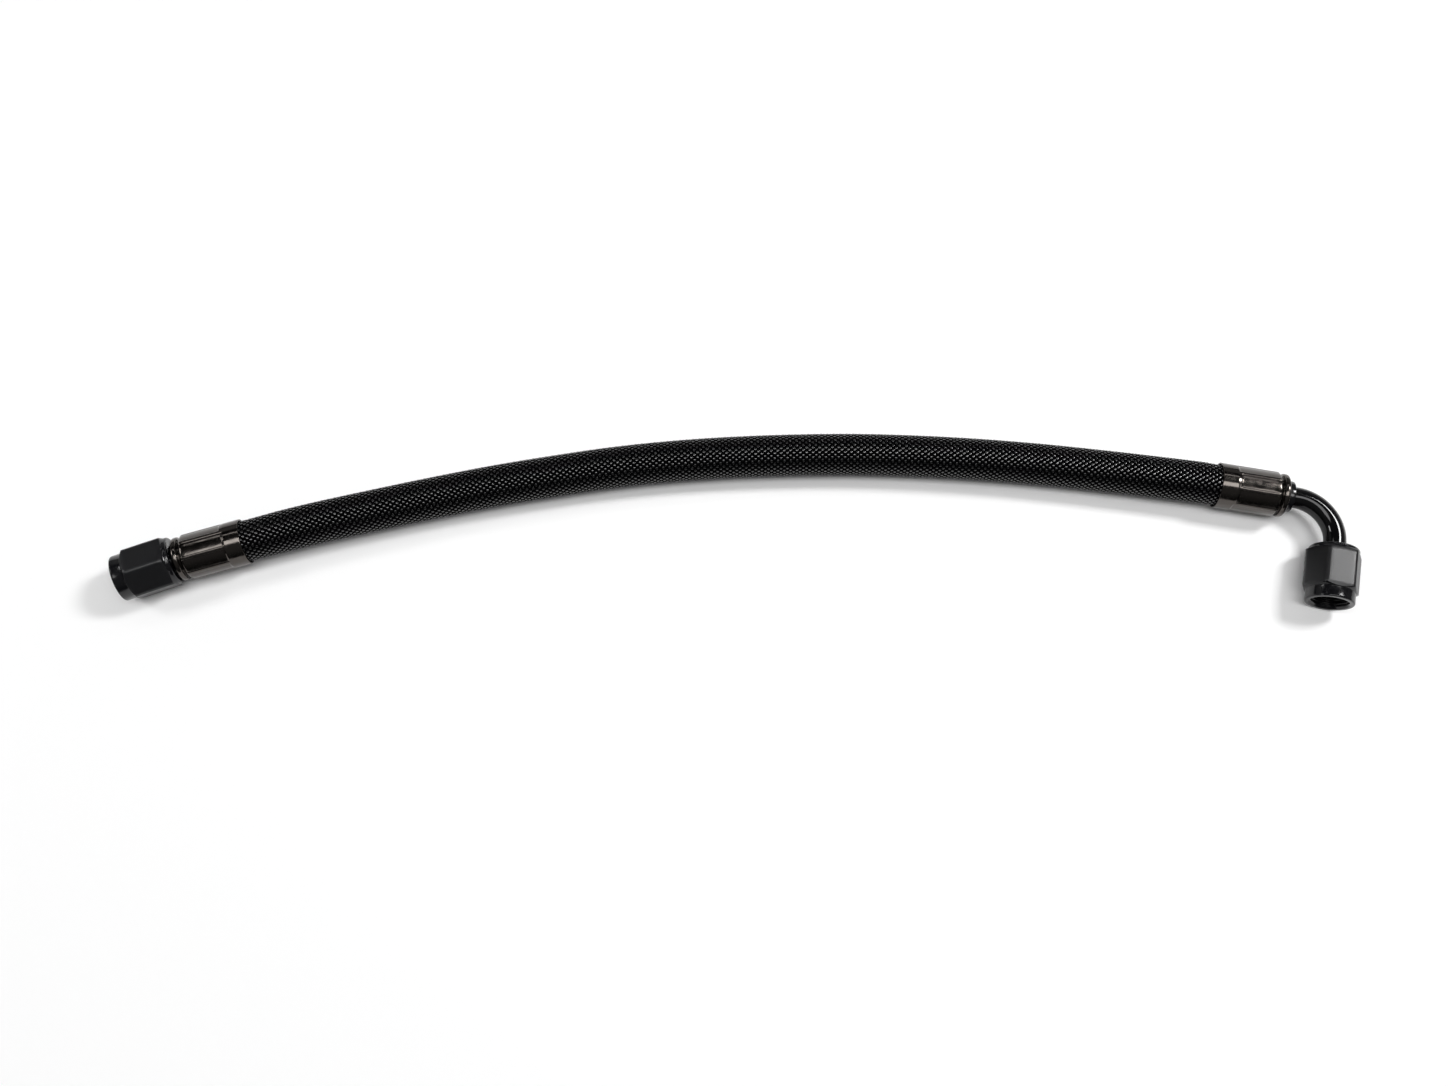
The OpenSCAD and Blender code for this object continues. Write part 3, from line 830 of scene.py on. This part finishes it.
class HOSE_OT_inserts(bpy.types.Operator):
    """Turn both barbed inserts and both conical seats"""

    bl_idname = "hose_assembly.inserts"
    bl_label = "Inserts and Seats"

    def execute(self, context):
        sizes, nut = context.scene.hose_tube, context.scene.hose_nut
        collar = context.scene.hose_collar
        material = turned_material()
        shank, bore, shoulder = sizes.shank / 2, sizes.bore / 2, sizes.shoulder / 2
        gripped = context.scene.hose_sizes.gripped
        # Each barb climbs slowly from the tip and falls off steeply
        tip, first, pitch = 1.0 * MM, 2.6 * MM, 2.5 * MM
        climb, fall, height = 1.5 * MM, 0.3 * MM, 0.3 * MM
        shank_part = [(tip, bore, 0), (tip, shank, 0.2 * MM)]
        for i in range(5):
            x = first + pitch * i
            shank_part += [
                (x, shank, 0), (x + climb, shank + height, 0.05 * MM),
                (x + climb + fall, shank, 0)]
        shank_part += [
            (gripped, shank, 0), (gripped, collar.lock / 2, 0.1 * MM),
            (collar.whole, collar.lock / 2, 0)]

        def ring(width):
            return [(collar.whole, shoulder, 0.25 * MM),
                    (collar.whole + width, shoulder, 0.25 * MM)]

        rear = collar.whole + sizes.straight_shoulder + sizes.gap
        seat = [(x + rear, r, f) for x, r, f in seat_corners(sizes, nut, -sizes.gap)]
        stop = collar.whole + sizes.elbow_shoulder
        floor = stop - sizes.insert_socket
        socket, seat_rear = sizes.outside / 2 + sizes.braze, 0.2 * MM
        for name, node, place, corners in (
            ("straight_insert_turned", "straight_insert", straight_place(),
             shank_part + ring(sizes.straight_shoulder) + seat),
            ("elbow_insert_turned", "elbow_insert", elbow_place(),
             shank_part + ring(sizes.elbow_shoulder) + [
                 (stop, socket, 0.15 * MM), (floor, socket, 0), (floor, bore, 0)]),
            ("elbow_seat_turned", "elbow_seat", elbow_nut_place(),
             seat_corners(sizes, nut, seat_rear) + [
                 (sizes.seat_socket, bore, 0), (sizes.seat_socket, socket, 0),
                 (seat_rear, socket, 0)]),
        ):
            piece = lathe(name, corners, place, material)
            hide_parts(node)
        return {"FINISHED"}


class HOSE_OT_elbow_tube(bpy.types.Operator):
    """Bend the tube of the elbow end"""

    bl_idname = "hose_assembly.elbow_tube"
    bl_label = "Elbow Tube"

    def execute(self, context):
        sizes, collar = context.scene.hose_tube, context.scene.hose_collar
        stop = collar.whole + sizes.elbow_shoulder
        bend = stop + sizes.lead_in
        # The tube ends a little short of the floor of each socket
        short = 0.1 * MM
        start = stop - sizes.insert_socket + short
        beyond = sizes.tail + sizes.seat_socket - short
        arc = bend_points(np.linspace(0, sizes.bend, 49))
        way = np.array([math.cos(sizes.bend), -math.sin(sizes.bend), 0])
        local = np.concatenate([
            [(x, 0, 0) for x in np.linspace(start, bend, 6)[:-1]], arc,
            [arc[-1] + way * run for run in np.linspace(0, beyond, 8)[1:]]])
        centres = moved(local, elbow_place())
        outer = np.full(len(centres), sizes.outside / 2)
        piece = sweep(
            "elbow_tube_bent", centres, outer - sizes.wall, outer, tube_material(), columns=72)
        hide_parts("elbow_tube")
        return {"FINISHED"}


def hexagon(angles, flats, rounding):
    """Radius of a hexagon with rounded corners at angles from the middle of a flat."""
    reach = flats / 2
    off = np.abs((angles / (TURN / 6) + 0.5) % 1 - 0.5) * TURN / 6
    straight = reach / np.cos(off)
    centre = (reach - rounding) / math.cos(math.pi / 6)
    from_corner = math.pi / 6 - off
    inside = np.maximum(rounding**2 - (centre * np.sin(from_corner)) ** 2, 0)
    round_part = centre * np.cos(from_corner) + np.sqrt(inside)
    starts = math.atan((reach - rounding) * math.tan(math.pi / 6) / reach)
    return np.where(off > starts, round_part, straight)


def nut_piece(name, place, body, turn):
    """Swivel nut with a turned shoulder, chamfered hexagon, nose, thread and neck bore."""
    sizes = bpy.context.scene.hose_nut
    one = np.radians([0, 0.5, 1, 1.5, 2.2, 3.5, 6, 10, 15, 20, 25])
    one = np.r_[one, math.pi / 6, math.pi / 3 - one[:0:-1]]
    angles = np.concatenate([math.pi / 6 + math.pi / 3 * i + one for i in range(6)])
    corner = hexagon(angles + math.pi / 2, sizes.flats, 0.35 * MM)
    ledge, nose = sizes.flats / 2 - 0.05 * MM, sizes.nose_outside / 2
    hexed = sizes.whole - sizes.nose
    edge, front, soft, hair = 0.6 * MM, 0.4 * MM, 0.05 * MM, 0.02 * MM
    rows = [(0.0, sizes.neck_bore / 2 + 0.5 * MM)] + quarter(0.0, ledge, edge, 7)

    # A steep cut up to the corners, then the flats, then the turned chamfer down again
    rear_slope, front_slope = 0.27, 0.77
    rise = sizes.shoulder + (corner - ledge) * rear_slope
    drop = hexed - (corner - ledge) * front_slope
    rows += [(sizes.shoulder, ledge), (rise - soft * 0.4, corner - soft)]
    first_milled = len(rows)
    rows.append((rise + soft, corner))
    for share in (0.12, 0.3, 0.5, 0.7, 0.88):
        rows.append((rise + soft + share * (hexed - 0.1 * MM - rise), corner))
    rows[-1] = (np.minimum(rows[-1][0], drop - 2 * soft), corner)
    last_milled = len(rows)
    rows += [
        (drop - soft, corner), (drop + soft, corner - soft * 1.2),
        (hexed - hair, ledge - 0.03 * MM), (hexed, ledge - 0.1 * MM),
        (hexed + hair, nose + 0.03 * MM), (hexed + 0.12 * MM, nose),
        (sizes.whole - front - 0.3 * MM, nose)]
    rows += quarter(sizes.whole, nose, front, 6, way=-1)
    mouth = sizes.thread_major / 2 + 0.13 * MM
    rows.append((sizes.whole, mouth + 0.06 * MM))

    # Thread, a groove that climbs one pitch in a turn
    minor, deep = sizes.thread_minor / 2, (sizes.thread_major - sizes.thread_minor) / 2
    flank, root = deep * math.tan(math.radians(30)), sizes.pitch / 16
    bottom, shelf = sizes.whole - sizes.thread_length, sizes.whole - sizes.relief_end
    for x in np.arange(sizes.whole - 0.03 * MM, bottom, -sizes.pitch / 14):
        phase = (x / sizes.pitch - angles / TURN) % 1
        off = np.abs(phase - 0.5) * sizes.pitch
        cut = np.clip((root + flank - off) / flank, 0, 1)
        bevel = mouth - (sizes.whole - x)
        rows.append((x, np.maximum(minor + deep * cut, bevel)))
    relief, bore = sizes.relief / 2, sizes.neck_bore / 2
    rows += [
        (bottom, relief - 0.1 * MM), (bottom - 0.15 * MM, relief), (shelf + 0.2 * MM, relief),
        (shelf, relief - 0.2 * MM), (shelf, bore), (0.4 * MM, bore)]

    slots = np.zeros((len(rows), len(angles)))
    slots[first_milled:last_milled] = 1
    return ring_piece(
        name, rows, angles + turn, place, body, [turned_material(), milled_material()],
        slots.ravel(), sharp=0)


class HOSE_OT_nuts(bpy.types.Operator):
    """Build both swivel nuts, which turn with their split wires"""

    bl_idname = "hose_assembly.nuts"
    bl_label = "Swivel Nuts"

    def execute(self, context):
        sizes = context.scene.hose_nut
        for end, place, turn in (
            ("straight", straight_nut_place(), sizes.straight_turn),
            ("elbow", elbow_nut_place(), sizes.elbow_turn),
        ):
            piece = nut_piece(f"{end}_nut_turned", place, f"{end}_swivel", turn)
            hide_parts(f"{end}_nut")
            wire = frame["nodes"][f"{end}_nut_wire"].data
            wire.materials.clear()
            wire.materials.append(spring_material())
        return {"FINISHED"}


# ---- Stage ----

def area_light(name, wide, deep, location, radiance, swing):
    """Flat lamp that faces the hose, swung round its middle by degrees."""
    light = bpy.data.lights.new(name, "AREA")
    light.shape = "RECTANGLE"
    light.size, light.size_y = wide, deep
    light.energy = radiance * math.pi * wide * deep
    lamp = bpy.data.objects.new(name, light)
    bpy.context.scene.collection.objects.link(lamp)
    away = Vector(location).normalized()
    swing = math.radians(swing)
    level = Vector((math.cos(swing), math.sin(swing), 0))
    level = (level - away * level.dot(away)).normalized()
    facing = Matrix((level, away.cross(level), away)).transposed()
    lamp.matrix_world = Matrix.Translation(location) @ facing.to_4x4()
    lamp.visible_camera = False


def lay_floor():
    """Square of white paper, 8 m wide."""
    half = 4.0
    mesh = bpy.data.meshes.new("stage_floor")
    mesh.from_pydata(
        [(-half, -half, 0), (half, -half, 0), (half, half, 0), (-half, half, 0)], [],
        [(0, 1, 2, 3)])
    mesh.materials.append(floor_material())
    floor = bpy.data.objects.new("stage_floor", mesh)
    bpy.context.scene.collection.objects.link(floor)


def light_room():
    """Grey room for the reflections, and white where the eye looks past the floor."""
    world = bpy.data.worlds.new("Studio")
    bpy.context.scene.world = world
    world.use_nodes = True
    tree = world.node_tree
    direction = add_node(tree, "ShaderNodeTexCoord").outputs["Generated"]
    parts = add_node(tree, "ShaderNodeSeparateXYZ", {}, {"Vector": direction})
    # Pairs of a direction's Z and its grey, on the camera's side and behind the hose
    near = ((0.0, 0.02), (0.1, 0.02), (0.28, 0.06), (0.55, 0.13), (0.84, 0.15))
    far = ((0.0, 0.06), (0.17, 0.25), (0.46, 0.25), (0.55, 0.02), (0.9, 0.03))
    shades = []
    for levels in (near, far):
        ramp = add_node(tree, "ShaderNodeValToRGB", {}, {"Fac": parts.outputs["Z"]})
        stops = ramp.color_ramp.elements
        for _ in levels[2:]:
            stops.new(0.5)
        for stop, (height, level) in zip(stops, levels):
            stop.position = height
            stop.color = (level, level, level, 1)
        shades.append(ramp.outputs["Color"])
    behind = add_node(
        tree, "ShaderNodeMapRange", {},
        {"Value": parts.outputs["Y"], "From Min": -0.2, "From Max": 0.3})
    room = add_node(
        tree, "ShaderNodeMix", {"data_type": "RGBA"},
        {"Factor": behind.outputs["Result"], 6: shades[0], 7: shades[1]})
    rays = add_node(tree, "ShaderNodeLightPath")
    seen = add_node(
        tree, "ShaderNodeMix", {"data_type": "RGBA"},
        {"Factor": rays.outputs["Is Camera Ray"], 6: room.outputs[2], 7: (1, 1, 1, 1)})
    tree.links.new(seen.outputs[2], tree.nodes["Background"].inputs["Color"])


def set_camera():
    """Camera that looks steeply down at the middle of the hose, from its front."""
    aim_x, aim_y = -0.0041, -0.0004
    distance, elevation = 0.40665, math.radians(72.3)
    camera = bpy.data.objects.new("camera", bpy.data.cameras.new("camera"))
    bpy.context.scene.collection.objects.link(camera)
    camera.data.lens, camera.data.sensor_width = 33.55, 36
    camera.data.clip_start = 0.01
    camera.location = (
        aim_x, aim_y - distance * math.cos(elevation), distance * math.sin(elevation))
    camera.rotation_euler = (math.pi / 2 - elevation, 0, 0)
    bpy.context.scene.camera = camera


class HOSE_OT_stage(bpy.types.Operator):
    """Set up the floor, the lights and the camera"""

    bl_idname = "hose_assembly.stage"
    bl_label = "Stage"

    def execute(self, context):
        stage = context.scene.hose_stage
        lay_floor()
        for name, wide, deep, location, radiance, swing in (
            ("key_panel", 1.8, 0.64, (0.1, -0.3, 1.98), stage.key, -3),
            ("side_lamp", 0.36, 0.26, (0.93, 0.4, 1.1), stage.side, 0),
            ("left_lamp", 0.2, 0.3, (-0.95, 0.15, 0.75), stage.left, 0),
            ("back_strip", 2.4, 0.12, (0.0, 1.22, 1.8), stage.strip, 5),
        ):
            area_light(name, wide, deep, location, radiance, swing)
        light_room()
        set_camera()
        context.scene.view_settings.view_transform = "Standard"
        return {"FINISHED"}


class HOSE_PT_panel(bpy.types.Panel):
    """Sizes, finishes and the steps that build the assembly"""

    bl_label = "Hose Assembly"
    bl_idname = "HOSE_PT_panel"
    bl_space_type = "VIEW_3D"
    bl_region_type = "UI"
    bl_category = "Hose Assembly"

    def draw(self, context):
        layout = self.layout
        for name, (label, group) in GROUPS.items():
            box = layout.box()
            box.label(text=label)
            for key in group.__annotations__:
                box.prop(getattr(context.scene, name), key)
        for operator in OPERATORS:
            layout.operator(operator.bl_idname)


GROUPS = {
    "hose_sizes": ("Hose", HoseSizes),
    "hose_collar": ("Collars", CollarSizes),
    "hose_nut": ("Nuts", NutSizes),
    "hose_tube": ("Inserts and tube", TubeSizes),
    "hose_finish": ("Finishes", Finishes),
    "hose_stage": ("Stage", StageSizes),
}
OPERATORS = (
    HOSE_OT_stage, HOSE_OT_layers, HOSE_OT_braid, HOSE_OT_collars, HOSE_OT_inserts,
    HOSE_OT_elbow_tube, HOSE_OT_nuts)


def register():
    for name, (label, group) in GROUPS.items():
        bpy.utils.register_class(group)
        setattr(bpy.types.Scene, name, bpy.props.PointerProperty(type=group, name=label))
    for operator in OPERATORS:
        bpy.utils.register_class(operator)
    bpy.utils.register_class(HOSE_PT_panel)


def unregister():
    bpy.utils.unregister_class(HOSE_PT_panel)
    for operator in reversed(OPERATORS):
        bpy.utils.unregister_class(operator)
    for name, (label, group) in GROUPS.items():
        delattr(bpy.types.Scene, name)
        bpy.utils.unregister_class(group)


def main():
    register()
    for name in ("stage", "layers", "braid", "collars", "inserts", "elbow_tube", "nuts"):
        getattr(bpy.ops.hose_assembly, name)()


if __name__ == "__main__":
    main()
